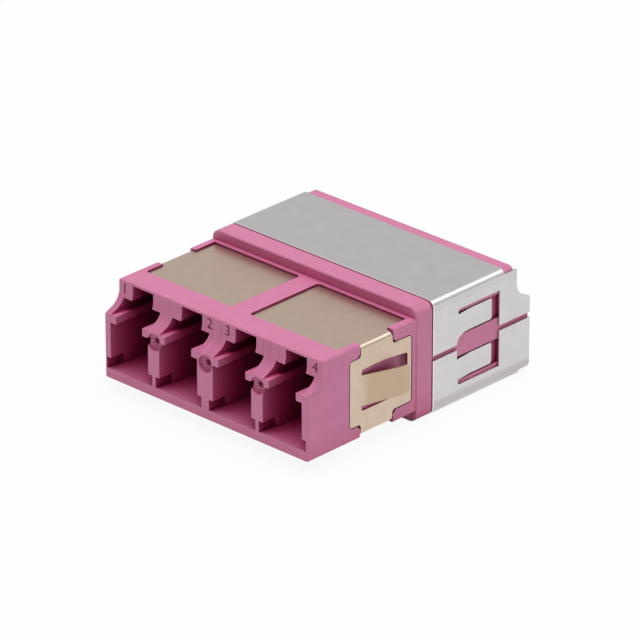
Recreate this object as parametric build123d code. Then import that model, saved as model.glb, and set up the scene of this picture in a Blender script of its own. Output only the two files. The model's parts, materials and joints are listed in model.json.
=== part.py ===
from build123d import *
import os
from math import cos, radians, sin, tan

# Fibre optic coupler: four plug ports at each end, joined back to back at the optical plane.
# X runs across the ports, Y from the front mouths to the rear mouths, Z up.
# The origin is on the underside, below the middle of the optical plane. Sizes are in millimetres.

# Plug ports, as a plug needs them
duplex_pitch = 6.25          # between the two ports of a pair
port_width = 4.84            # room for a plug's square body
plug_room = 4.7              # from the port floor to the guide rails
axis_rise = 2.35             # fibre axis above the port floor
rail_thickness = 0.75
rail_gap = 3.4               # the plug's latch arm passes between the rails
guide_width = 4.74
guide_height = 1.2
latch_width = 2.6            # slot between the tabs that hold the latch
latch_height = 1.45
tab_depth = 2.6
chamber_height = 0.95        # room behind the tabs for the latch ears
latch_reach = 10.0           # from the mouth to the end of the latch channel

# Walls of the moulded body
floor_wall = 1.0
roof_wall = 0.2
side_wall = 0.72
centre_wall = 1.95           # between the two pairs
overall_length = 29.5
edge_round = 0.2
mouth_chamfer = 0.08

# Mouth of the body, seen from the side
brow_setback = 1.85          # the upper face stands this far behind the lower one
ramp_angle = 25.0
cheek_radius = 1.6
rear_inset = 0.22            # brow and ramp of the rear body from the edges of the upper shell

# Widened foot of each port
relief_reach = 0.5
relief_height = 1.1
relief_depth = 1.9
relief_skin = 0.22           # wall that the outermost relief leaves

# Round hollows in the front of the dividers
dish_radius = 0.92
dish_depth = 0.4
dish_drop = 0.2              # middle of each hollow below the rails
pip_radius = 0.2             # gate mark in the middle of each hollow
pip_height = 0.3

# Collar that stops against the panel
collar_ahead = 0.65          # in front of the optical plane
collar_behind = 1.4
collar_side_step = 0.08      # past the sides of the body
collar_drop = 1.18           # below the body
collar_rise = 0.95           # above the body
collar_corner = 0.9
collar_chamfer = 0.1

# Spring clips on the front body, with their places counted forwards from the collar
clip_sheet = 0.2
clip_sink = 0.18             # clip below the top and bottom faces
clip_bend = 0.5              # outer bend radius
clip_gap = 0.11              # between the clip and its recess
clip_clearance = 0.05        # between the bends and the moulding behind them
bridge_width = 2.48          # between the two clips
rim_width = 0.845            # from the side face to the clip's top and bottom plates
clip_margin = 0.58           # from the collar to the rear edges of the clip
cover_reach = 9.39           # front edge of the top and bottom plates
plate_reach = 8.62           # front edge of the side plate
plate_inset = 1.36           # side plate from the top and bottom faces
neck_reach = 7.19            # front edge of the necks
neck_width = 4.13
clip_corner = 0.35
cover_corner = 0.25
tongue_reach = 7.1           # root of the flared tongue
tongue_width = 3.04          # at the root
tongue_taper = 0.27          # fall of the tongue's upper edge from the root to the tip
tongue_run = 4.3             # from the root to the bend at the tip
tongue_land = 0.85
tongue_flare = 1.09
tongue_bend = 1.0
window_height = 4.09
window_fall = 0.3            # the window's upper edge is this much lower at its rear end
window_corner = 0.22
tongue_clearance = 0.87      # from the tip to the end of the window

# Steel shells round the rear body
shell_sheet = 0.2
shell_bend = 0.7
shell_gap = 0.25             # from the collar
shell_inset = 0.05           # inside the sides of the collar
seam_gap = 0.53
shell_top_setback = 3.5      # rear edge of the top plate, from the rear mouth
shell_bottom_setback = 1.4   # rear edge of the bottom plate, from the rear mouth
shell_shoulder = 0.55        # side plates start this far from the top and bottom faces past those edges
shell_edge_gap = 0.05        # between the shells' bends and the edges of the rear body
shell_nose_round = 0.4
catch_end = 5.0              # from the rear mouth to the free end of the side tongues
catch_length = 4.73
catch_width = 2.1
catch_slot = 0.53
catch_gap = 0.85             # behind the free end
catch_bend = 0.2             # the tongue stands in by this
catch_run = 1.8              # along the bend, from the root
catch_rise = 1.19            # from the middle of the shells to the tongue's edge
catch_heel = 0.15            # the opening below the tongue starts this far before it
catch_corner = 0.25
catch_heel_round = 0.9       # in the upper shell only, where its opening meets the root of the tongue
pocket_depth = 0.3
pocket_margin = 0.15

# Sleeve holders, clamped between the two moulded halves, and alignment sleeves
holder_plate = 0.8
barrel_radius = 1.25
barrel_reach = 4.3           # from the optical plane
sleeve_length = 6.8
sleeve_radius = 0.81
sleeve_bore = 0.624
sleeve_slit = 0.3
sleeve_room = 0.06
sleeve_end_room = 0.1
lip_bore = 0.78              # lip at the tip of the barrel, which keeps the sleeve in
pocket_floor = 0.75
pocket_roof = 0.9
joint_gap = 0.05

# Levels, from the underside up
body_base = collar_drop
floor_level = body_base + floor_wall
rail_level = floor_level + plug_room
ledge_level = rail_level + rail_thickness
tab_level = ledge_level + guide_height
latch_level = tab_level + latch_height
body_top = latch_level + roof_wall
axis_level = floor_level + axis_rise
collar_height = body_top + collar_rise
shell_middle = collar_height / 2

# Widths and places along the coupler, from the optical plane
pair_pitch = duplex_pitch + port_width + centre_wall
body_width = pair_pitch + duplex_pitch + port_width + 2 * side_wall
collar_width = body_width + 2 * collar_side_step
shell_width = collar_width - 2 * shell_inset
half_length = overall_length / 2
right_places = [(pair_pitch + side * duplex_pitch) / 2 for side in (-1, 1)]
port_places = sorted([-place for place in right_places] + right_places)
divider_places = [-pair_pitch / 2, 0, pair_pitch / 2]
beyond = 2.0                # how far a cut runs past the material
nearly = 0.001


# A rectangle in a sketch from one corner to the other
def patch(low_a, high_a, low_b, high_b):
    middle = Pos((low_a + high_a) / 2, (low_b + high_b) / 2)
    return middle * Rectangle(high_a - low_a, high_b - low_b)


# A sketch seen from the front, drawn out along Y
def along_y(sketch, front, back):
    return extrude(Plane.XZ.offset(-back) * sketch, back - front)


# A sketch seen from the side, drawn out along X
def along_x(sketch, left, right):
    return extrude(Plane.YZ.offset(left) * sketch, right - left)


# A sketch seen from above, drawn out along Z
def along_z(sketch, low, high):
    return extrude(Plane.XY.offset(low) * sketch, high - low)


# Corners of a sketch whose place along an axis lies between two values
def corners(sketch, axis, low, high):
    return sketch.vertices().filter_by_position(axis, low - nearly, high + nearly)


# Side outline of a mouth: upright chin, ramp, hollow cheek and upright brow
def mouth_outline(low, high, back, inset=0):
    slope = radians(ramp_angle)
    tip = -half_length
    brow = tip + brow_setback + inset
    chin_top = ledge_level - inset
    ramp_end = brow - cheek_radius * (1 - sin(slope))
    ramp_top = chin_top + (ramp_end - tip) * tan(slope)
    cheek_top = ramp_top + cheek_radius * cos(slope)
    bisector = (slope + radians(90)) / 2
    cheek_centre = (brow - cheek_radius, cheek_top)
    cheek_middle = (
        cheek_centre[0] + cheek_radius * sin(bisector),
        cheek_centre[1] - cheek_radius * cos(bisector),
    )
    cheek = ThreePointArc((ramp_end, ramp_top), cheek_middle, (brow, cheek_top))
    brow_line = Polyline((brow, cheek_top), (brow, high), (back, high))
    chin_line = Polyline((back, high), (back, low), (tip, low), (tip, chin_top), (ramp_end, ramp_top))
    return make_face(cheek.edges() + brow_line.edges() + chin_line.edges())


# Block with a mouth at the front, rounded along its length, before its ports are cut
def mouth_block(width, low, high, back, corner, inset=0):
    block = along_x(mouth_outline(low, high, back, inset), -width / 2, width / 2)
    block = fillet(block.edges().filter_by(Axis.Y), corner)
    crosswise = block.edges().filter_by(Axis.X)
    crosswise = crosswise.filter_by_position(Axis.Y, -half_length - nearly, back - beyond)
    top_edge = crosswise.filter_by_position(Axis.Z, high - nearly, high + nearly)
    bottom_edge = crosswise.filter_by_position(Axis.Z, low - nearly, low + nearly)
    return chamfer(top_edge + bottom_edge, mouth_chamfer)


# Everything that is open in one port, from the mouth to the optical plane
def port_space(place):
    tip = -half_length
    brow = tip + brow_setback
    bay = patch(-port_width / 2, port_width / 2, floor_level, rail_level)
    throat = patch(-rail_gap / 2, rail_gap / 2, rail_level, ledge_level)
    guide = patch(-guide_width / 2, guide_width / 2, ledge_level, tab_level)
    slot = patch(-latch_width / 2, latch_width / 2, tab_level, latch_level)
    chamber = patch(-guide_width / 2, guide_width / 2, tab_level, tab_level + chamber_height)
    plug_space = along_y(bay + throat, tip - beyond, 0)
    latch_space = along_y(guide + slot, tip - beyond, tip + latch_reach)
    ear_space = along_y(chamber, brow + tab_depth, tip + latch_reach)
    return Pos(place, 0, 0) * (plug_space + latch_space + ear_space)


# Widened foot of one port, which leaves a skin at the sides of the block
def foot_relief(place, width):
    reach = port_width / 2 + relief_reach
    limit = width / 2 - relief_skin
    left = max(place - reach, -limit)
    right = min(place + reach, limit)
    foot = patch(left, right, floor_level, floor_level + relief_height)
    return along_y(foot, -half_length - beyond, -half_length + relief_depth)


# Round hollow in the front of a divider, with a pip at its bottom
def dish(place):
    ball_radius = (dish_radius**2 + dish_depth**2) / (2 * dish_depth)
    ball_centre = -half_length - ball_radius + dish_depth
    bottom = -half_length + dish_depth
    hollow = Pos(0, ball_centre, 0) * Sphere(ball_radius)
    pip = Pos(0, bottom, 0) * Rot(90, 0, 0) * Cylinder(pip_radius, 2 * pip_height)
    return Pos(place, 0, rail_level - dish_drop) * (hollow - pip)


# Ports, reliefs and hollows of one moulded half, with its mouth at the front
def cut_mouths(block, width):
    for place in port_places:
        block -= port_space(place)
        block -= foot_relief(place, width)
    for place in divider_places:
        block -= dish(place)
    return block


# Section of the pocket where the two moulded halves join, and of what fits in it
def joint_section(gap):
    half_width = body_width / 2 - side_wall - gap
    low = body_base + pocket_floor + gap
    high = body_top - pocket_roof - gap
    return patch(-half_width, half_width, low, high)


# Outline of the clip's side plate and of the necks that join it to the plates above and below.
# Its corners are finished by a fillet on the clip and by a chamfer in the recess.
def clip_side(gap, finish):
    front = -collar_ahead - plate_reach - gap
    back = -collar_ahead - clip_margin + gap
    neck_front = -collar_ahead - neck_reach - gap
    neck_back = neck_front + neck_width + 2 * gap
    plate = patch(front, back, body_base + plate_inset - gap, body_top - plate_inset + gap)
    neck = patch(neck_front, neck_back, body_base - beyond, body_top + beyond)
    return finish(corners(plate + neck, Axis.Y, body_base, body_top), clip_corner)


# Space of the right clip: a block of its whole reach, less the moulding left beside its necks
def clip_envelope(gap, finish):
    rim = body_width / 2 - rim_width + gap
    outside = body_width / 2 + beyond
    front = -collar_ahead - cover_reach - gap
    back = -collar_ahead - clip_margin + gap
    low = body_base - beyond
    high = body_top + beyond
    around = patch(front - beyond, back + beyond, low, high) - clip_side(gap, finish)
    space = along_z(patch(bridge_width / 2 - gap, outside, front, back), low, high)
    space -= along_x(around, rim, outside + beyond)
    upright = space.edges().filter_by(Axis.Z)
    by_bridge = upright.filter_by_position(Axis.X, 0, bridge_width)
    by_mouth = upright.filter_by_position(Axis.Y, front - nearly, front + nearly)
    by_mouth = by_mouth.filter_by_position(Axis.X, bridge_width, rim + nearly)
    return finish(by_bridge + by_mouth, cover_corner)


# Moulding that stands behind the clip, with rounded edges where the clip bends
def clip_core():
    width = body_width - 2 * clip_sheet
    height = body_top - body_base - 2 * (clip_sink + clip_sheet)
    middle = (body_top + body_base) / 2
    section = Pos(0, middle) * RectangleRounded(width, height, clip_bend - clip_sheet + clip_clearance)
    return along_y(section, -half_length - beyond, collar_behind + beyond)


def front_housing():
    block = mouth_block(body_width, body_base, body_top, -collar_ahead + collar_chamfer, edge_round)
    rim = Pos(0, collar_height / 2) * RectangleRounded(collar_width, collar_height, collar_corner)
    collar = along_y(rim, -collar_ahead, collar_behind)
    collar = chamfer(collar.faces().sort_by(Axis.Y)[0].edges(), collar_chamfer)
    body = cut_mouths(block + collar, body_width)
    body -= along_y(joint_section(0), -holder_plate, collar_behind + beyond)
    recess = clip_envelope(clip_gap, chamfer) - clip_core()
    return body - recess - mirror(recess, about=Plane.YZ)


# Pockets in the sides of the rear body for the tongues of the shells
def catch_pockets(width):
    back = half_length - catch_end + catch_gap + pocket_margin
    front = half_length - catch_end - catch_length
    low = catch_rise - pocket_margin
    high = catch_rise + catch_width + pocket_margin
    upper = patch(front, back, shell_middle + low, shell_middle + high)
    lower = patch(front, back, shell_middle - high, shell_middle - low)
    right = along_x(upper + lower, width / 2 - pocket_depth, width / 2 + beyond)
    return [right, mirror(right, about=Plane.YZ)]


def rear_housing():
    width = shell_width - 2 * shell_sheet
    low = shell_sheet
    high = collar_height - shell_sheet
    corner = shell_bend - shell_sheet + shell_edge_gap
    block = mouth_block(width, low, high, -collar_behind, corner, rear_inset)
    block += along_y(joint_section(joint_gap), -collar_behind, -holder_plate)
    body = mirror(cut_mouths(block, width), about=Plane.XZ)
    for pocket in catch_pockets(width):
        body -= pocket
    return body


# Strip of sheet that follows a bent path seen from above, cut to a side outline
def bent_tongue(path, sheet, outline):
    strip = trace(path, sheet)
    low = outline.bounding_box().min.Y
    high = outline.bounding_box().max.Y
    return along_z(strip, low, high) & along_x(outline, 0, body_width)


# Sheet of the right clip, folded over the body, before its tongue is cut free
def clip_fold():
    height = body_top - body_base - 2 * clip_sink
    middle = (body_top + body_base) / 2
    outer = RectangleRounded(body_width, height, clip_bend)
    inner = RectangleRounded(body_width - 2 * clip_sheet, height - 2 * clip_sheet, clip_bend - clip_sheet)
    fold = along_y(Pos(0, middle) * (outer - inner), -half_length, -collar_ahead)
    return fold & clip_envelope(0, fillet)


# Window in the side plate round the tongue, whose upper edge falls towards the rear
def clip_window(root, end, middle):
    low = middle - window_height / 2
    high = middle + window_height / 2
    upper = ThreePointArc((root, high), ((root + end) / 2, high), (end, high - window_fall))
    rest = Polyline((end, high - window_fall), (end, low), (root, low), (root, high))
    window = make_face(upper.edges() + rest.edges())
    return fillet(window.vertices(), window_corner)


# Right clip, folded from one sheet, with a flared tongue in its side plate
def panel_clip():
    middle = (body_top + body_base) / 2
    root = -collar_ahead - tongue_reach
    bend = root + tongue_run
    tip = bend + tongue_land
    window = clip_window(root, tip + tongue_clearance, middle)
    sheet = clip_fold() - along_x(window, body_width / 2 - beyond, body_width / 2 + beyond)
    near = body_width / 2 - clip_sheet / 2
    far = near + tongue_flare
    start = root - clip_corner
    path = FilletPolyline((near, start), (near, root), (far, bend), (far, tip), radius=tongue_bend)
    low = middle - tongue_width / 2
    high = middle + tongue_width / 2
    edge = Polyline((start, low), (tip, low), (tip, high - tongue_taper), (root, high), (start, high), close=True)
    outline = make_face(edge.edges())
    outline = fillet(corners(outline, Axis.X, tip, tip), clip_corner)
    return sheet + bent_tongue(path, clip_sheet, outline)


# Side outline of the upper shell: past its top plate it follows the mouth
def shell_top_outline():
    front = collar_behind + shell_gap
    low = shell_middle + seam_gap / 2
    shoulder = collar_height - shell_shoulder
    mouth = mirror(mouth_outline(low, shoulder, -front), about=Plane.YZ)
    nose = corners(mouth, Axis.X, half_length, half_length).sort_by(Axis.Y)[-1]
    mouth = fillet(nose, shell_nose_round)
    return mouth + patch(front, half_length - shell_top_setback, low, collar_height)


# Side outline of the lower shell: upright at its rear end, with a shorter bottom plate
def shell_bottom_outline():
    front = collar_behind + shell_gap
    high = shell_middle - seam_gap / 2
    side = patch(front, half_length, shell_shoulder, high)
    nose = corners(side, Axis.X, half_length, half_length).sort_by(Axis.Y)[0]
    side = fillet(nose, shell_nose_round)
    return side + patch(front, half_length - shell_bottom_setback, 0, high)


# Tongue in the side of the upper shell, and the opening that frees it on three sides
def catch_tongue(low):
    free_end = half_length - catch_end
    tongue = patch(free_end - catch_length, free_end, low, low + catch_width)
    return fillet(corners(tongue, Axis.X, free_end, free_end), catch_corner)


def catch_opening(low, rounded):
    free_end = half_length - catch_end
    root = free_end - catch_length
    high = low + catch_width
    below = patch(root - catch_heel, free_end + catch_gap, shell_middle, low)
    if rounded:
        heel = corners(below, Axis.X, root - catch_heel, root - catch_heel).sort_by(Axis.Y)[-1]
        below = fillet(heel, catch_heel_round)
    beside = patch(root, free_end + catch_gap, low, high + catch_slot)
    opening = below + beside
    return fillet(corners(opening, Axis.X, root, root).sort_by(Axis.Y)[-1], catch_corner)


# The tongues of the right side stand in, so that they spring into the pockets of the rear body
def bent_catch(outline, low):
    free_end = half_length - catch_end
    root = free_end - catch_length
    side = (shell_width - shell_sheet) / 2
    inside = side - catch_bend
    path = Polyline((side, root), (inside, root + catch_run), (inside, free_end))
    strip = along_z(trace(path, shell_sheet), low, low + catch_width)
    return strip & along_x(outline, 0, shell_width)


# Shell folded from one sheet over the rear body; flip turns the tongues over for the lower one
def shell(outline, flip):
    inner_width = shell_width - 2 * shell_sheet
    inner_height = collar_height - 2 * shell_sheet
    outer = RectangleRounded(shell_width, collar_height, shell_bend)
    inner = RectangleRounded(inner_width, inner_height, shell_bend - shell_sheet)
    fold = along_y(Pos(0, shell_middle) * (outer - inner), collar_behind, half_length)
    sheet = fold & along_x(outline, -shell_width, shell_width)
    low = shell_middle + catch_rise
    opening = along_x(catch_opening(low, not flip), -shell_width, shell_width)
    catch = bent_catch(catch_tongue(low), low)
    if flip:
        opening = mirror(opening, about=Plane.XY.offset(shell_middle))
        catch = mirror(catch, about=Plane.XY.offset(shell_middle))
    return sheet - opening + catch + mirror(catch, about=Plane.YZ)


# Barrel of a sleeve holder, which stands in the port and keeps the sleeve in by a lip at its tip
def holder_barrel():
    room = sleeve_radius + sleeve_room
    stop = sleeve_length / 2 + sleeve_end_room
    wall = make_face(Polyline(
        (room, 0), (barrel_radius, 0), (barrel_radius, barrel_reach),
        (lip_bore, barrel_reach), (lip_bore, stop), (room, stop), close=True
    ).edges())
    return Rot(90, 0, 0) * revolve(Plane.XZ * wall, Axis.Z)


# Plate with a barrel for each port of the right pair, at the front of the optical plane
def sleeve_holder():
    section = joint_section(joint_gap) & patch(joint_gap, body_width, 0, collar_height)
    holder = along_y(section, -holder_plate, 0)
    drill = Rot(90, 0, 0) * Cylinder(barrel_radius, 2 * holder_plate)
    for place in right_places:
        spot = Pos(place, 0, axis_level)
        holder = holder - spot * drill + spot * holder_barrel()
    return holder


# Split ceramic tube that lines up the two plugs of a port
def alignment_sleeve(place):
    ring = Circle(sleeve_radius) - Circle(sleeve_bore)
    ring -= patch(-sleeve_slit / 2, sleeve_slit / 2, 0, sleeve_radius + sleeve_slit)
    return Pos(place, 0, axis_level) * along_y(ring, -sleeve_length / 2, sleeve_length / 2)


def all_parts():
    parts = {
        "front_housing": front_housing(),
        "rear_housing": rear_housing(),
        "shell_top": shell(shell_top_outline(), False),
        "shell_bottom": shell(shell_bottom_outline(), True),
    }
    clip = panel_clip()
    holder = sleeve_holder()
    sides = {
        "right": (clip, holder),
        "left": (mirror(clip, about=Plane.YZ), mirror(holder, about=Plane.YZ)),
    }
    for side, (side_clip, side_holder) in sides.items():
        parts[f"panel_clip_{side}"] = side_clip
        parts[f"sleeve_holder_front_{side}"] = side_holder
        parts[f"sleeve_holder_rear_{side}"] = mirror(side_holder, about=Plane.XZ)
    for number, place in enumerate(port_places, start=1):
        parts[f"alignment_sleeve_{number}"] = alignment_sleeve(place)
    return parts


os.makedirs("parts", exist_ok=True)
for node, solid in all_parts().items():
    export_step(solid, f"parts/{node}.step")
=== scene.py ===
import bmesh
import bpy
import json
import math
from mathutils import Matrix, Vector


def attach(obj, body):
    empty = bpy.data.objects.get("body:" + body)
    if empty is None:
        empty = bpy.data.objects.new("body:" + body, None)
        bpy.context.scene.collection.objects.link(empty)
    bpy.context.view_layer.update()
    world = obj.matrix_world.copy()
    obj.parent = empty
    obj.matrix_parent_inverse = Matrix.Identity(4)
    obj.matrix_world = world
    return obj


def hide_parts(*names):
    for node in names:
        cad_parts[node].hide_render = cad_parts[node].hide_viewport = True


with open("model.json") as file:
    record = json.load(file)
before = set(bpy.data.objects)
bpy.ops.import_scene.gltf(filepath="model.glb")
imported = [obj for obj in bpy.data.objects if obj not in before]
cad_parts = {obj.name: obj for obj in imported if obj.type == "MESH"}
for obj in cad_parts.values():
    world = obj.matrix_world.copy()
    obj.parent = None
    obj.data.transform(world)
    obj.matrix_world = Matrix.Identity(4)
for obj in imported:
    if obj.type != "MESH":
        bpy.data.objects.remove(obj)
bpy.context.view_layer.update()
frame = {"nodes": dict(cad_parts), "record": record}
nodes = frame["nodes"]
mm = 0.001
print("frame loaded:", len(nodes), "nodes")


# the camera stands where the photo was taken from
cameraSet = {
    "target": (2.269 * mm, -2.096 * mm, 7.467 * mm),
    "azimuth": 43.553,
    "elevation": 25.378,
    "distance": 549.377 * mm,
    "lens": 339.73,            # lens and sensor in the camera's own millimetres
    "sensor": 36.0,
    "clip": (0.01, 50.0),
}


def addCamera():
    turn = math.radians(cameraSet["azimuth"])
    rise = math.radians(cameraSet["elevation"])
    level = math.cos(rise)
    back = Vector((math.sin(turn) * level, -math.cos(turn) * level, math.sin(rise)))
    data = bpy.data.cameras.new("photoCamera")
    data.lens = cameraSet["lens"]
    data.sensor_width = cameraSet["sensor"]
    data.clip_start, data.clip_end = cameraSet["clip"]
    camera = bpy.data.objects.new("photoCamera", data)
    camera.location = Vector(cameraSet["target"]) + back * cameraSet["distance"]
    camera.rotation_mode = "QUATERNION"
    camera.rotation_quaternion = (-back).to_track_quat("-Z", "Y")
    bpy.context.scene.collection.objects.link(camera)
    bpy.context.scene.camera = camera


addCamera()
print("camera set")


# what all finishes share: rays per sample, noise detail, and where each mask starts and ends
finishSet = {
    "rays": 8,
    "noiseRoughness": 0.55,
    "mottleDetail": 3.0,
    "grainDetail": 2.0,
    "swirlDetail": 1.5,
    "swirlMiddle": 0.5,
    "streakDetail": 1.0,
    "edgeRange": (0.02, 0.25),
    "toneRange": (0.3, 0.7),
    "wearAndHighlightRange": (0.3, 0.6),
    "markRange": (0.4, 0.65),
    "streakRange": (0.45, 0.75),
}


# node tree helpers: a node with its inputs set, a sum on one or two values,
# a factor spread between two values, and a ramp from 0 at the start to 1 at the end
def addNode(tree, kind, **inputs):
    node = tree.nodes.new(kind)
    for name, value in inputs.items():
        node.inputs[name.replace("_", " ")].default_value = value
    return node


def calc(tree, operation, first, second=None, clamp=False):
    node = tree.nodes.new("ShaderNodeMath")
    node.operation = operation
    node.use_clamp = clamp
    for socket, value in zip(node.inputs, (first, second)):
        if isinstance(value, (int, float)):
            socket.default_value = value
        elif value is not None:
            tree.links.new(value, socket)
    return node.outputs[0]


def between(tree, factor, low, high):
    node = tree.nodes.new("ShaderNodeMapRange")
    node.inputs["To Min"].default_value = low
    node.inputs["To Max"].default_value = high
    tree.links.new(factor, node.inputs["Value"])
    return node.outputs["Result"]


def rampUp(tree, factor, start, end):
    node = tree.nodes.new("ShaderNodeMapRange")
    node.inputs["From Min"].default_value = start
    node.inputs["From Max"].default_value = end
    tree.links.new(factor, node.inputs["Value"])
    return node.outputs["Result"]


def blendColour(tree, factor, first, second):
    node = tree.nodes.new("ShaderNodeMix")
    node.data_type = "RGBA"
    tree.links.new(factor, node.inputs["Factor"])
    for name, value in (("A", first), ("B", second)):
        socket = [s for s in node.inputs if s.name == name and s.type == "RGBA"][0]
        if isinstance(value, tuple):
            socket.default_value = (*value, 1.0)
        else:
            tree.links.new(value, socket)
    return [s for s in node.outputs if s.type == "RGBA"][0]


# noise measured in millimetres of the part, stretched along an axis where the sheet was rolled
def grain(tree, perMm, detail, stretch=(1.0, 1.0, 1.0)):
    place = tree.nodes.new("ShaderNodeTexCoord")
    mapping = tree.nodes.new("ShaderNodeMapping")
    mapping.inputs["Scale"].default_value = [axis / mm for axis in stretch]
    tree.links.new(place.outputs["Object"], mapping.inputs["Vector"])
    rough = finishSet["noiseRoughness"]
    noise = addNode(tree, "ShaderNodeTexNoise", Scale=perMm, Detail=detail, Roughness=rough)
    tree.links.new(mapping.outputs["Vector"], noise.inputs["Vector"])
    return noise.outputs["Fac"]


# a rounded normal for the edges, and a mask that is 1 on them
def softEdges(tree, radius):
    bevel = tree.nodes.new("ShaderNodeBevel")
    bevel.samples = finishSet["rays"]
    bevel.inputs["Radius"].default_value = radius
    surface = tree.nodes.new("ShaderNodeNewGeometry")
    dot = tree.nodes.new("ShaderNodeVectorMath")
    dot.operation = "DOT_PRODUCT"
    tree.links.new(bevel.outputs["Normal"], dot.inputs[0])
    tree.links.new(surface.outputs["Normal"], dot.inputs[1])
    turned = calc(tree, "SUBTRACT", 1.0, dot.outputs["Value"])
    return bevel.outputs["Normal"], rampUp(tree, turned, *finishSet["edgeRange"])


# towards 1 where walls nearer than the reach close a place in, 0 on open faces; it sets where shade is
# painted into the colour
def closedIn(tree, reach):
    hidden = tree.nodes.new("ShaderNodeAmbientOcclusion")
    hidden.samples = finishSet["rays"]
    hidden.inputs["Distance"].default_value = reach
    return calc(tree, "SUBTRACT", 1.0, hidden.outputs["AO"])


# the share inside a zone and 0 outside it: each slab, in millimetres, is an axis, a plane across it,
# the nearest and furthest distance from that plane, and how softly it ends;
# a nearest distance below 0 means that the slab has no gap at its plane
def zoneMask(tree, zone, share):
    place = tree.nodes.new("ShaderNodeTexCoord")
    parts = tree.nodes.new("ShaderNodeSeparateXYZ")
    tree.links.new(place.outputs["Object"], parts.inputs["Vector"])
    mask = share
    for axis, plane, near, far, soft in zone:
        away = calc(tree, "ABSOLUTE", calc(tree, "SUBTRACT", parts.outputs[axis], plane * mm))
        rise = rampUp(tree, away, near * mm, (near + soft) * mm)
        fall = rampUp(tree, away, far * mm, (far + soft) * mm)
        mask = calc(tree, "MULTIPLY", calc(tree, "SUBTRACT", rise, fall, clamp=True), mask)
    return mask


# thin curved marks that handling leaves on a sheet, strong in some places and faint in others
def handlingMarks(tree, marks, mottle):
    swirl = grain(tree, marks["perMm"], finishSet["swirlDetail"])
    away = calc(tree, "ABSOLUTE", calc(tree, "SUBTRACT", swirl, finishSet["swirlMiddle"]))
    lines = calc(tree, "SUBTRACT", 1.0, rampUp(tree, away, 0.0, marks["width"]))
    strength = calc(tree, "MULTIPLY", rampUp(tree, mottle, *finishSet["markRange"]), marks["share"])
    return calc(tree, "MULTIPLY", lines, strength)


def addBump(tree, height, strength, depth, normal):
    bump = addNode(tree, "ShaderNodeBump", Strength=strength, Distance=depth)
    tree.links.new(height, bump.inputs["Height"])
    tree.links.new(normal, bump.inputs["Normal"])
    return bump.outputs["Normal"]


# one finish from a dictionary: two mottled tones, edges lighter with wear and painted highlight, zones
# of painted light and shade, marks, streaks, and painted shade where walls close in, with uneven gloss
# and a fine grain
def makeFinish(name, look):
    material = bpy.data.materials.new(name)
    material.use_nodes = True
    tree = material.node_tree
    shader = tree.nodes["Principled BSDF"]
    normal, edge = softEdges(tree, look["edgeRadius"])
    mottle = grain(tree, look["mottlePerMm"], finishSet["mottleDetail"])
    fine = grain(tree, look["grainPerMm"], finishSet["grainDetail"], look["stretch"])
    toned = rampUp(tree, mottle, *finishSet["toneRange"])
    tone = blendColour(tree, toned, look["colour"], look["tone"])
    # edges lighter in patches: partly wear, partly painted highlight
    patchy = calc(tree, "MULTIPLY", rampUp(tree, fine, *finishSet["wearAndHighlightRange"]), look["wearAndHighlight"])
    colour = blendColour(tree, calc(tree, "MULTIPLY", edge, patchy), tone, look["edgeWearHighlight"])
    # zones of painted light and shade, each a colour blended in over a box of the part
    for paintedZone in look.get("paintedLightZones", ()):
        mask = zoneMask(tree, paintedZone["zone"], paintedZone["share"])
        colour = blendColour(tree, mask, colour, paintedZone["colour"])
    if "marks" in look:
        marks = look["marks"]
        colour = blendColour(tree, handlingMarks(tree, marks, mottle), colour, marks["colour"])
    if "streaks" in look:
        streaks = look["streaks"]
        lines = grain(tree, streaks["perMm"], finishSet["streakDetail"], streaks["stretch"])
        lines = rampUp(tree, lines, *finishSet["streakRange"])
        mask = zoneMask(tree, streaks["zone"], streaks["share"])
        colour = blendColour(tree, calc(tree, "MULTIPLY", lines, mask), colour, streaks["colour"])
    # painted shade: the colour darkens where nearby walls close a place in
    for reach, steps in look["paintedShades"].items():
        closed = closedIn(tree, reach)
        for start, end, share, shadeColour in steps:
            shade = calc(tree, "MULTIPLY", rampUp(tree, closed, start, end), share)
            colour = blendColour(tree, shade, colour, shadeColour)
    tree.links.new(colour, shader.inputs["Base Color"])
    smear = calc(tree, "MULTIPLY", mottle, look["smear"])
    gloss = calc(tree, "ADD", between(tree, fine, *look["roughness"]), smear)
    tree.links.new(gloss, shader.inputs["Roughness"])
    shader.inputs["Metallic"].default_value = look["metallic"]
    shader.inputs["IOR"].default_value = look["ior"]
    bumped = addBump(tree, fine, look["bump"], look["bumpDepth"], normal)
    tree.links.new(bumped, shader.inputs["Normal"])
    return material


# height of the middle plane in millimetres, as in every zone
midHeight = 5.715
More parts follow.
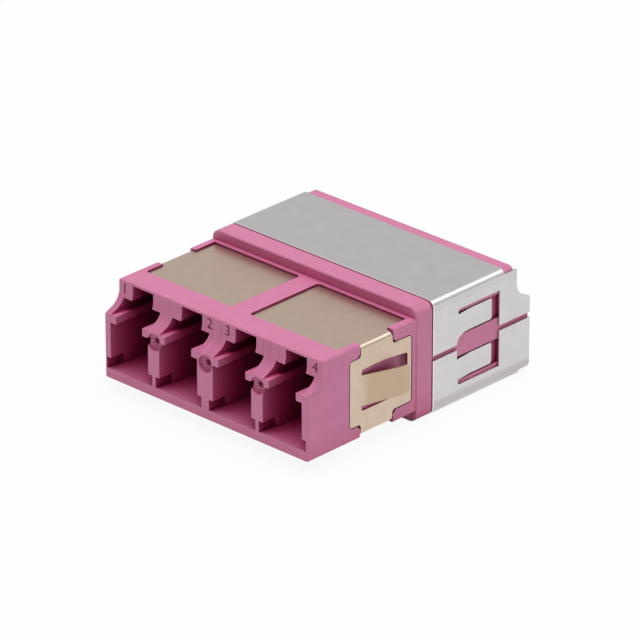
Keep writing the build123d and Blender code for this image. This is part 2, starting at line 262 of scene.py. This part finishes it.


# painted shades go by their reach, and each step of one has a start, an end, a share and a colour
housingLook = {
    "colour": (0.70, 0.215, 0.39),
    "tone": (0.67, 0.20, 0.37),
    # lighter edges: partly wear, partly painted highlight
    "edgeWearHighlight": (0.84, 0.42, 0.60),
    "edgeRadius": 0.05 * mm,
    "paintedShades": {                # painted shade: deeper colour inside the ports, and darker still in narrow gaps
        8.0 * mm: (
            (0.34, 0.62, 1.0, (0.55, 0.032, 0.15)),
            (0.56, 0.92, 1.0, (0.14, 0.002, 0.035)),
        ),
        0.8 * mm: ((0.36, 0.78, 0.9, (0.17, 0.010, 0.05)),),
    },
    "streaks": {               # fine moulding lines down the cheeks of the front mouths
        "perMm": 6.5,
        "stretch": (1.0, 0.01, 0.01),
        "colour": (0.42, 0.10, 0.20),
        "zone": (("Y", -13.8, -0.5, 1.0, 0.05), ("Z", 8.9, -0.5, 1.35, 0.2)),
        "share": 0.4,
    },
    "paintedLightZones": (                 # painted shade: the rear end of the clips' windows, the shells' pockets and their seam darkened
        {
            "zone": (
                ("X", 0.0, 12.3, 12.65, 0.02),
                ("Y", -1.7, -1.0, 0.65, 0.7),
                ("Z", midHeight, -1.0, 2.3, 0.1),
            ),
            "share": 0.95,
            "colour": (0.13, 0.006, 0.04),
        },
        {
            "zone": (
                ("X", 0.0, 12.25, 12.59, 0.01),
                ("Y", 7.8, -1.0, 4.0, 0.1),
                ("Z", midHeight, 1.04, 3.6, 0.02),
            ),
            "share": 0.55,
            "colour": (0.42, 0.04, 0.14),
        },
        {
            "zone": (
                ("X", 0.0, 12.59, 12.65, 0.01),
                ("Y", 7.8, 2.9, 7.2, 0.1),
                ("Z", midHeight, -1.0, 0.3, 0.02),
            ),
            "share": 0.5,
            "colour": (0.42, 0.04, 0.14),
        },
    ),
    "mottlePerMm": 0.7,
    "grainPerMm": 11.0,
    "stretch": (1.0, 1.0, 1.0),
    "wearAndHighlight": 0.8,
    "roughness": (0.34, 0.46),
    "smear": 0.08,
    "metallic": 0.0,
    "ior": 1.52,
    "bump": 0.35,
    "bumpDepth": 0.004 * mm,
}
bronzeLook = {
    "colour": (0.66, 0.515, 0.41),
    "tone": (0.63, 0.485, 0.38),
    "edgeWearHighlight": (0.90, 0.78, 0.64),
    "edgeRadius": 0.05 * mm,
    # painted shade: darker colour in narrow gaps
    "paintedShades": {0.25 * mm: ((0.45, 0.95, 0.4, (0.14, 0.06, 0.05)),)},
    "paintedLightZones": (                 # painted reflection: the flared tongues coloured darker than the flat sheet
        {"zone": (("X", 0.0, 12.8, 20.0, 0.2),), "share": 0.75, "colour": (0.50, 0.37, 0.245)},
    ),
    "marks": {"perMm": 0.35, "width": 0.012, "share": 0.35, "colour": (0.48, 0.36, 0.27)},
    "mottlePerMm": 0.9,
    "grainPerMm": 9.0,
    "stretch": (1.0, 0.05, 1.0),
    "wearAndHighlight": 0.7,
    "roughness": (0.24, 0.34),
    "smear": 0.08,
    "metallic": 1.0,
    "ior": 1.45,
    "bump": 0.25,
    "bumpDepth": 0.002 * mm,
}
steelLook = {
    "colour": (0.67, 0.655, 0.65),
    "tone": (0.64, 0.63, 0.62),
    "edgeWearHighlight": (0.92, 0.91, 0.89),
    "edgeRadius": 0.05 * mm,
    # painted shade: darker colour in narrow gaps
    "paintedShades": {0.25 * mm: ((0.45, 0.95, 0.3, (0.16, 0.09, 0.10)),)},
    "paintedLightZones": (                 # painted shade: darker lines beside the bends and a darker band along the bottom bend; painted highlight: the bright cut edge at the collar
        {"zone": (("Z", midHeight, 4.66, 4.72, 0.05),), "share": 0.35, "colour": (0.40, 0.37, 0.36)},
        {"zone": (("Z", midHeight, 4.78, 5.0, 0.08),), "share": 0.25, "colour": (0.50, 0.47, 0.455)},
        {"zone": (("Z", 0.7, -1.0, 0.5, 0.3),), "share": 0.45, "colour": (0.42, 0.38, 0.365)},
        {"zone": (("Y", 1.65, -1.0, 0.07, 0.03),), "share": 0.9, "colour": (0.98, 0.97, 0.95)},
    ),
    "marks": {"perMm": 0.25, "width": 0.010, "share": 0.2, "colour": (0.50, 0.48, 0.47)},
    "mottlePerMm": 0.6,
    "grainPerMm": 9.0,
    "stretch": (0.05, 1.0, 1.0),
    "wearAndHighlight": 0.7,
    "roughness": (0.25, 0.36),
    "smear": 0.08,
    "metallic": 1.0,
    "ior": 1.45,
    "bump": 0.25,
    "bumpDepth": 0.002 * mm,
}
holderLook = dict(
    housingLook,
    colour=(0.64, 0.18, 0.35),
    tone=(0.60, 0.165, 0.32),
    roughness=(0.4, 0.5),
)
# painted shade: a darker copy of the housing's finish for the numerals' grooves and the pits
groovePaintedShadeLook = dict(
    housingLook,
    colour=(0.34, 0.07, 0.15),
    tone=(0.31, 0.06, 0.13),
    wearAndHighlight=0.1,
    roughness=(0.45, 0.55),
)
ceramicLook = {
    "colour": (0.86, 0.85, 0.80),
    "tone": (0.80, 0.79, 0.74),
    "edgeWearHighlight": (0.93, 0.92, 0.89),
    "edgeRadius": 0.03 * mm,
    # painted shade: darker colour in narrow hollows
    "paintedShades": {0.2 * mm: ((0.45, 0.95, 0.5, (0.5, 0.48, 0.44)),)},
    "mottlePerMm": 1.5,
    "grainPerMm": 20.0,
    "stretch": (1.0, 0.2, 1.0),
    "wearAndHighlight": 0.4,
    "roughness": (0.12, 0.2),
    "smear": 0.05,
    "metallic": 0.0,
    "ior": 1.9,
    "bump": 0.1,
    "bumpDepth": 0.001 * mm,
}
slotFinishes = {
    "housing_plastic": makeFinish("housingPlastic", housingLook),
    "clip_bronze": makeFinish("clipBronze", bronzeLook),
    "shell_steel": makeFinish("shellSteel", steelLook),
    "holder_plastic": makeFinish("holderPlastic", holderLook),
    "sleeve_ceramic": makeFinish("sleeveCeramic", ceramicLook),
}
groovePaintedShade = makeFinish("engravedGroovePaintedShade", groovePaintedShadeLook)


def dressNodes():
    slotOf = {part["node"]: part["material_slot"] for part in frame["record"]["subparts"]}
    for name, node in nodes.items():
        for place in node.material_slots:
            place.link = "OBJECT"
            place.material = slotFinishes[slotOf[name]]


dressNodes()
print("finishes made")


def meshOf(thing):
    bpy.context.view_layer.update()
    seen = thing.evaluated_get(bpy.context.evaluated_depsgraph_get())
    return bpy.data.meshes.new_from_object(seen)


# turns what is drawn flat to face the front
upright = Matrix.Rotation(math.radians(90), 4, "X")


# the pits in the gate marks of the front dividers
pitSet = {
    "places": (-6.52 * mm, 0.0, 6.52 * mm),
    "level": 6.68 * mm,
    "radius": 0.115 * mm,
    "reach": (-14.9 * mm, -14.4 * mm),
    "segments": 20,
}


def addPits(made):
    front, back = pitSet["reach"]
    radius = pitSet["radius"]
    for place in pitSet["places"]:
        spot = Matrix.Translation((place, (front + back) / 2, pitSet["level"]))
        bmesh.ops.create_cone(
            made, cap_ends=True, segments=pitSet["segments"], radius1=radius, radius2=radius,
            depth=back - front, matrix=spot @ upright)


# the rounded cup that each gate mark stands in
hollowSet = {
    "rimRadius": 0.82 * mm,
    "footRadius": 0.24 * mm,
    "front": -14.95 * mm,
    "wallEnd": -14.6 * mm,
    "bottom": -14.2 * mm,
    "steps": 6,
    "segments": 40,
}


# a ring spun round each gate mark: a straight wall, then a quarter round down to the foot of the mark
def addHollows(made):
    rim, foot, wallEnd = hollowSet["rimRadius"], hollowSet["footRadius"], hollowSet["wallEnd"]
    reach = rim - foot
    drop = hollowSet["bottom"] - wallEnd
    steps = hollowSet["steps"]
    turns = [math.radians(90) * step / steps for step in range(steps + 1)]
    cup = [(foot + reach * math.cos(turn), wallEnd + drop * math.sin(turn)) for turn in turns]
    outline = [(foot, hollowSet["front"]), (rim, hollowSet["front"])] + cup
    for place in pitSet["places"]:
        rings = []
        for segment in range(hollowSet["segments"]):
            turn = math.tau * segment / hollowSet["segments"]
            rings.append([made.verts.new((place + radius * math.cos(turn), depth,
                                          pitSet["level"] + radius * math.sin(turn)))
                          for radius, depth in outline])
        for first, second in zip(rings, rings[1:] + rings[:1]):
            for step in range(len(outline)):
                after = (step + 1) % len(outline)
                wall = made.faces.new((first[step], second[step], second[after], first[after]))
                wall.material_index = 1    # the housing's own finish in the cutter
    bmesh.ops.recalc_face_normals(made, faces=made.faces)


# the numerals engraved over the ports, on the brow of the front mouth
numeralSet = {
    "texts": ("1", "2", "3", "4"),
    "places": (-12.0 * mm, -1.15 * mm, 1.1 * mm, 11.95 * mm),
    "middle": 9.73 * mm,
    "height": 1.0 * mm,
    "brow": -12.9 * mm,
    "depth": 0.1 * mm,
    "ahead": 0.3 * mm,         # the cutter starts this far in front of the brow
    "resolution": 6,
    "weld": 0.001 * mm,
}


# one cutter for the numerals, the pits and the cups; the numerals and pits carry the painted shade of
# the darker groove finish, and only the cups keep the housing's finish
def engraver():
    joined = bmesh.new()
    middleDepth = numeralSet["brow"] + (numeralSet["depth"] - numeralSet["ahead"]) / 2
    for text, place in zip(numeralSet["texts"], numeralSet["places"]):
        font = bpy.data.curves.new("numeral" + text, "FONT")
        font.body = text
        font.size = 1.0
        font.resolution_u = numeralSet["resolution"]
        carrier = bpy.data.objects.new("numeral" + text, font)
        bpy.context.scene.collection.objects.link(carrier)
        flat = meshOf(carrier)
        xs = [v.co.x for v in flat.vertices]
        ys = [v.co.y for v in flat.vertices]
        scale = numeralSet["height"] / (max(ys) - min(ys))
        font.extrude = (numeralSet["depth"] + numeralSet["ahead"]) / 2 / scale
        solid = meshOf(carrier)
        centre = Vector(((max(xs) + min(xs)) / 2, (max(ys) + min(ys)) / 2, 0.0))
        standing = Matrix.Translation((place, middleDepth, numeralSet["middle"])) @ upright
        solid.transform(standing @ Matrix.Scale(scale, 4) @ Matrix.Translation(-centre))
        joined.from_mesh(solid)
        bpy.data.objects.remove(carrier)
    bmesh.ops.remove_doubles(joined, verts=joined.verts, dist=numeralSet["weld"])
    addPits(joined)
    addHollows(joined)
    cutter = bpy.data.meshes.new("engraver")
    joined.to_mesh(cutter)
    joined.free()
    cutter.materials.append(groovePaintedShade)
    cutter.materials.append(slotFinishes["housing_plastic"])
    return bpy.data.objects.new("engraver", cutter)


# how the front body is carved: welds before and after the cut,
# and the angle above which an edge stays sharp
carveSet = {
    "copyWeld": 0.0005 * mm,
    "seamWeld": 0.0002 * mm,
    "sharpAngle": 28.0,
}


# a copy of a node's mesh with its seams welded, and without its stored normals
def weldedCopy(node, name):
    made = bmesh.new()
    made.from_mesh(nodes[node].data)
    bmesh.ops.remove_doubles(made, verts=made.verts, dist=carveSet["copyWeld"])
    mesh = bpy.data.meshes.new(name)
    made.to_mesh(mesh)
    made.free()
    if "custom_normal" in mesh.attributes:
        mesh.attributes.remove(mesh.attributes["custom_normal"])
    piece = bpy.data.objects.new(name, mesh)
    bpy.context.scene.collection.objects.link(piece)
    return piece


# the cut can leave one long open edge beside shorter ones on the same line,
# so the long one is split at their ends and all of them are welded
def closeSeam(mesh):
    made = bmesh.new()
    made.from_mesh(mesh)
    loose = [edge for edge in made.edges if len(edge.link_faces) == 1]
    if loose:
        long = max(loose, key=lambda edge: edge.calc_length())
        near, far = long.verts
        ends = {vert for edge in loose for vert in edge.verts} - {near, far}
        for vert in sorted(ends, key=lambda vert: (vert.co - near.co).length):
            share = (vert.co - near.co).length / (far.co - near.co).length
            near = bmesh.utils.edge_split(long, near, share)[1]
            long = next(edge for edge in near.link_edges if far in edge.verts)
        bmesh.ops.remove_doubles(made, verts=made.verts, dist=carveSet["seamWeld"])
    print("open edges left by the cut:", sum(len(edge.link_faces) != 2 for edge in made.edges))
    made.to_mesh(mesh)
    made.free()
    return mesh


def engraveHousing():
    piece = weldedCopy("front_housing", "engravedHousing")
    piece.data.materials.append(slotFinishes["housing_plastic"])
    cutter = engraver()
    bpy.context.scene.collection.objects.link(cutter)
    cut = piece.modifiers.new("engrave", "BOOLEAN")
    cut.operation = "DIFFERENCE"
    cut.solver = "EXACT"
    cut.material_mode = "TRANSFER"
    cut.object = cutter
    carved = closeSeam(meshOf(piece))
    piece.modifiers.clear()
    carved.shade_smooth()
    carved.set_sharp_from_angle(angle=math.radians(carveSet["sharpAngle"]))
    piece.data = carved
    weigh = piece.modifiers.new("weigh", "WEIGHTED_NORMAL")
    weigh.keep_sharp = True
    piece.data = meshOf(piece)
    piece.modifiers.clear()
    bpy.data.objects.remove(cutter)
    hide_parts("front_housing")
    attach(piece, "root")
    names = [finish.name for finish in piece.data.materials]
    faces = piece.data.polygons
    grooved = sum(names[face.material_index] == groovePaintedShade.name for face in faces)
    print("engraved housing:", len(faces), "faces,", grooved, "of them in grooves and pits")


engraveHousing()


# pale floor, soft light from above and a plain studio round it
studioSet = {
    "floorHalf": 3.0,
    "floorColour": (0.93, 0.93, 0.93),
    "floorRoughness": 0.9,
    "floorGlow": 0.92,         # share of the floor that shows as plain white
    "ambient": (0.26, 0.26, 0.265),
    "backdrop": (0.675, 0.675, 0.68),
    "lamps": {                 # place, size and power of each, and whether it shows in reflections
        "overheadBox": ((0.0, -0.02, 0.62), 0.5, 2.42, False),
        "sheenBox": ((0.0, -0.02, 0.62), 0.5, 0.7, True),
        "backBox": ((0.2, 0.42, 0.42), 0.3, 0.5, True),
    },
}


# 1 where the camera, a mirror or glass looks at a surface, 0 where only its light counts
def seenPlainly(tree):
    path = tree.nodes.new("ShaderNodeLightPath")
    mirrored = calc(tree, "ADD", path.outputs["Is Glossy Ray"], path.outputs["Is Transmission Ray"])
    return calc(tree, "ADD", path.outputs["Is Camera Ray"], mirrored, clamp=True)


def addFloor():
    half = studioSet["floorHalf"]
    mesh = bpy.data.meshes.new("studioFloor")
    corners = [(-half, -half, 0), (half, -half, 0), (half, half, 0), (-half, half, 0)]
    mesh.from_pydata(corners, [], [(0, 1, 2, 3)])
    floor = bpy.data.objects.new("studioFloor", mesh)
    bpy.context.scene.collection.objects.link(floor)
    material = bpy.data.materials.new("studioFloor")
    material.use_nodes = True
    tree = material.node_tree
    shader = tree.nodes["Principled BSDF"]
    shader.inputs["Base Color"].default_value = (*studioSet["floorColour"], 1.0)
    shader.inputs["Roughness"].default_value = studioSet["floorRoughness"]
    shader.inputs["Specular IOR Level"].default_value = 0.0
    glow = tree.nodes.new("ShaderNodeEmission")
    mix = tree.nodes.new("ShaderNodeMixShader")
    glowing = calc(tree, "MULTIPLY", seenPlainly(tree), studioSet["floorGlow"])
    tree.links.new(glowing, mix.inputs[0])
    tree.links.new(shader.outputs[0], mix.inputs[1])
    tree.links.new(glow.outputs[0], mix.inputs[2])
    tree.links.new(mix.outputs[0], tree.nodes["Material Output"].inputs["Surface"])
    mesh.materials.append(material)


def addWorld():
    world = bpy.data.worlds.new("studio")
    bpy.context.scene.world = world
    world.use_nodes = True
    tree = world.node_tree
    ambient = tree.nodes["Background"]
    ambient.inputs["Color"].default_value = (*studioSet["ambient"], 1.0)
    backdrop = tree.nodes.new("ShaderNodeBackground")
    backdrop.inputs["Color"].default_value = (*studioSet["backdrop"], 1.0)
    mix = tree.nodes.new("ShaderNodeMixShader")
    tree.links.new(seenPlainly(tree), mix.inputs[0])
    tree.links.new(ambient.outputs[0], mix.inputs[1])
    tree.links.new(backdrop.outputs[0], mix.inputs[2])
    tree.links.new(mix.outputs[0], tree.nodes["World Output"].inputs["Surface"])


def addLamps():
    for name, (place, size, power, mirrored) in studioSet["lamps"].items():
        data = bpy.data.lights.new(name, "AREA")
        data.shape = "SQUARE"
        data.size = size
        data.energy = power
        lamp = bpy.data.objects.new(name, data)
        lamp.location = place
        lamp.visible_glossy = mirrored
        lamp.rotation_mode = "QUATERNION"
        lamp.rotation_quaternion = (-Vector(place)).to_track_quat("-Z", "Y")
        bpy.context.scene.collection.objects.link(lamp)


addFloor()
addWorld()
addLamps()
bpy.context.scene.view_settings.view_transform = "Standard"
print("studio made")
